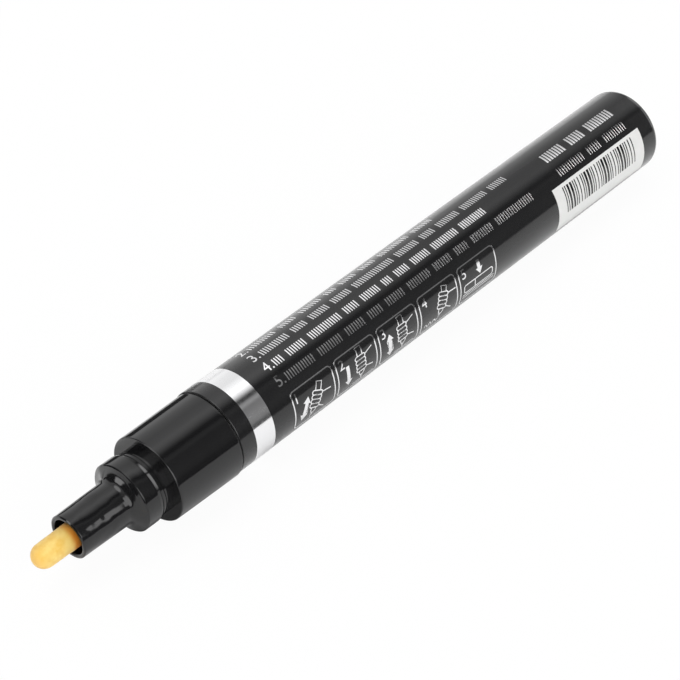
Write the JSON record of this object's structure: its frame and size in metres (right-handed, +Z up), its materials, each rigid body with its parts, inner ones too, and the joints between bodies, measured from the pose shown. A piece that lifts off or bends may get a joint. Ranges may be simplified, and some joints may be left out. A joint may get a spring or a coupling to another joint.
{
  "type": "paint marker",
  "caption": "Round paint marker without its cap: closed metal barrel, stepped plastic front with a cap seat and slim nose, and a felt nib that presses in to open a spring valve.",
  "frame": {"origin": "under the middle of the marker's length, on the surface that it lies on", "axes": "+X along the marker toward its closed tail, the nib toward -X, +Z up"},
  "size_m": [0.1404, 0.015, 0.015],
  "materials": {
    "black_lacquer": "black semi-gloss lacquer over an aluminium can",
    "black_gloss": "black, polished mould",
    "felt": "pressed fibre, cream yellow",
    "white_plastic": "natural white",
    "seal_rubber": "black, dull",
    "spring_steel": "drawn wire",
    "grey_plastic": "grey",
    "ball_steel": "polished"
  },
  "bodies": {
    "casing": {"barrel": "black_lacquer", "tip_holder": "black_gloss", "valve_body": "white_plastic", "spring_cage": "grey_plastic", "valve_spring": "spring_steel"},
    "nib_and_plunger": {"nib": "felt", "valve_plunger": "white_plastic", "valve_seal": "seal_rubber"},
    "loose_ball": {"mixing_ball": "ball_steel"}
  },
  "joints": [
    {"name": "nib_press", "type": "slide", "parent": "casing", "child": "nib_and_plunger", "axis": [1, 0, 0], "range_m": [0, 0.0025], "stiffness_N_per_m": 300, "springref_m": -0.003, "deforming": ["valve_spring"]},
    {"name": "ball_run", "type": "slide", "parent": "casing", "child": "loose_ball", "axis": [1, 0, 0], "range_m": [-0.0423, 0.0426]}
  ]
}
